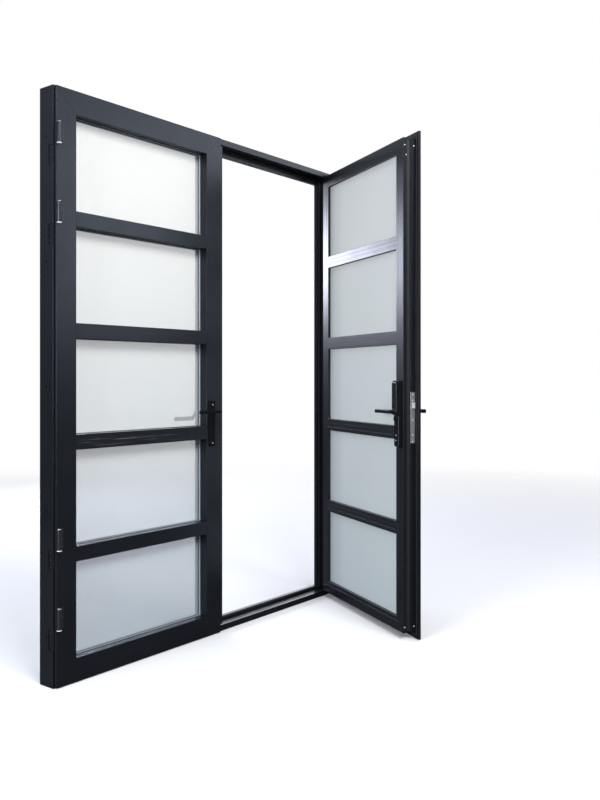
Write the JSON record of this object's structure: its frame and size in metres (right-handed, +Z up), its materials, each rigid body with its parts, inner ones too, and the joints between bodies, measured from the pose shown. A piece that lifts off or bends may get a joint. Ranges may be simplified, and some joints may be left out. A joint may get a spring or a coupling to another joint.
{
  "type": "french doors",
  "caption": "Pair of outward-opening glazed aluminium french doors in their frame, each leaf divided by horizontal bars, with lever handles, lock and shoot bolts.",
  "frame": {"origin": "middle of the underside of the sill, half-way through the frame's depth", "axes": "+Z up, +X to the right and +Y inward, for someone standing outside and facing the doors"},
  "size_m": [1.9, 0.9721, 2.4],
  "materials": {
    "powder_coat": "satin anthracite powder coat",
    "mill_aluminium": "plain mill finish",
    "black_rubber": "matt EPDM",
    "hinge_black": "satin black",
    "white_nylon": "matt",
    "black_plastic": "matt",
    "clear_glass": "clear float glass with a faint green-grey cast",
    "spacer_grey": "satin light grey",
    "handle_black": "semi-gloss black",
    "brushed_steel": "brushed",
    "zinc_steel": "zinc plated"
  },
  "bodies": {
    "frame": {"frame_left_jamb": "powder_coat", "frame_right_jamb": "powder_coat", "frame_head": "powder_coat", "frame_sill": "powder_coat", "frame_corner_cleats": "mill_aluminium", "frame_gaskets": "black_rubber", "frame_hinge_halves": "hinge_black", "hinge_pins": "brushed_steel", "hinge_washers": "white_nylon", "bolt_keeps": "brushed_steel"},
    "left_leaf": {"left_hinge_stile": "powder_coat", "left_meeting_stile": "powder_coat", "left_top_rail": "powder_coat", "left_bottom_rail": "powder_coat", "left_bar_1": "powder_coat", "left_bar_2": "powder_coat", "left_bar_3": "powder_coat", "left_bar_4": "powder_coat", "left_panes": "clear_glass", "left_spacers": "spacer_grey", "left_beads": "powder_coat", "left_gaskets": "black_rubber", "left_corner_cleats": "mill_aluminium", "left_hinge_halves": "hinge_black", "left_plates": "handle_black", "left_plate_screws": "zinc_steel", "left_gearbox": "zinc_steel", "false_mullion": "powder_coat", "mullion_end_caps": "black_plastic", "strike_plate": "brushed_steel"},
    "left_handle": {"left_outer_lever": "handle_black", "left_inner_lever": "handle_black", "left_spindle": "zinc_steel"},
    "top_bolt": {"top_shoot_bolt": "zinc_steel"},
    "bottom_bolt": {"bottom_shoot_bolt": "zinc_steel"},
    "right_leaf": {"right_hinge_stile": "powder_coat", "right_meeting_stile": "powder_coat", "right_top_rail": "powder_coat", "right_bottom_rail": "powder_coat", "right_bar_1": "powder_coat", "right_bar_2": "powder_coat", "right_bar_3": "powder_coat", "right_bar_4": "powder_coat", "right_panes": "clear_glass", "right_spacers": "spacer_grey", "right_beads": "powder_coat", "right_gaskets": "black_rubber", "right_corner_cleats": "mill_aluminium", "right_hinge_halves": "hinge_black", "right_plates": "handle_black", "right_plate_screws": "zinc_steel", "lock_case": "zinc_steel", "lock_faceplate": "brushed_steel", "lock_cylinder": "zinc_steel"},
    "right_handle": {"right_outer_lever": "handle_black", "right_inner_lever": "handle_black", "right_spindle": "zinc_steel"},
    "latch": {"latch_bolt": "brushed_steel"},
    "dead_bolt": {"dead_bolt": "brushed_steel"},
    "thumbturn": {"thumbturn": "handle_black"}
  },
  "joints": [
    {"name": "left_leaf_hinge", "type": "hinge", "parent": "frame", "child": "left_leaf", "pos_m": [-0.94, -0.071, 0], "axis": [0, 0, -1], "range_deg": [0, 105]},
    {"name": "right_leaf_hinge", "type": "hinge", "parent": "frame", "child": "right_leaf", "pos_m": [0.94, -0.071, 0], "axis": [0, 0, 1], "range_deg": [-61.5, 43.5]},
    {"name": "left_handle_turn", "type": "hinge", "parent": "left_leaf", "child": "left_handle", "pos_m": [-0.065, -0.06, 1.075], "axis": [0, -1, 0], "range_deg": [0, 90]},
    {"name": "top_bolt_slide", "type": "slide", "parent": "left_leaf", "child": "top_bolt", "axis": [0, 0, 1], "range_m": [0, 0.02]},
    {"name": "bottom_bolt_slide", "type": "slide", "parent": "left_leaf", "child": "bottom_bolt", "axis": [0, 0, -1], "range_m": [0, 0.02]},
    {"name": "right_handle_turn", "type": "hinge", "parent": "right_leaf", "child": "right_handle", "pos_m": [0.51282, -0.83472, 1.075], "axis": [-0.8788, 0.4772, 0], "range_deg": [0, 40], "stiffness_Nm_per_rad": 1.5, "springref_deg": -34.38},
    {"name": "latch_slide", "type": "slide", "parent": "right_leaf", "child": "latch", "axis": [0.4772, 0.8788, 0], "range_m": [0, 0.012]},
    {"name": "thumbturn_turn", "type": "hinge", "parent": "right_leaf", "child": "thumbturn", "pos_m": [0.44427, -0.7975, 1.042], "axis": [-0.8788, 0.4772, 0], "range_deg": [0, 90]},
    {"name": "dead_bolt_slide", "type": "slide", "parent": "right_leaf", "child": "dead_bolt", "axis": [-0.4772, -0.8788, 0], "range_m": [0, 0.02]}
  ],
  "couplings": [
    {"joint": "top_bolt_slide", "follows": "left_handle_turn", "m_per_rad": 0.0127},
    {"joint": "bottom_bolt_slide", "follows": "left_handle_turn", "m_per_rad": 0.0127},
    {"joint": "latch_slide", "follows": "right_handle_turn", "m_per_rad": 0.0171},
    {"joint": "thumbturn_turn", "follows": "dead_bolt_slide", "rad_per_m": 78.5}
  ]
}
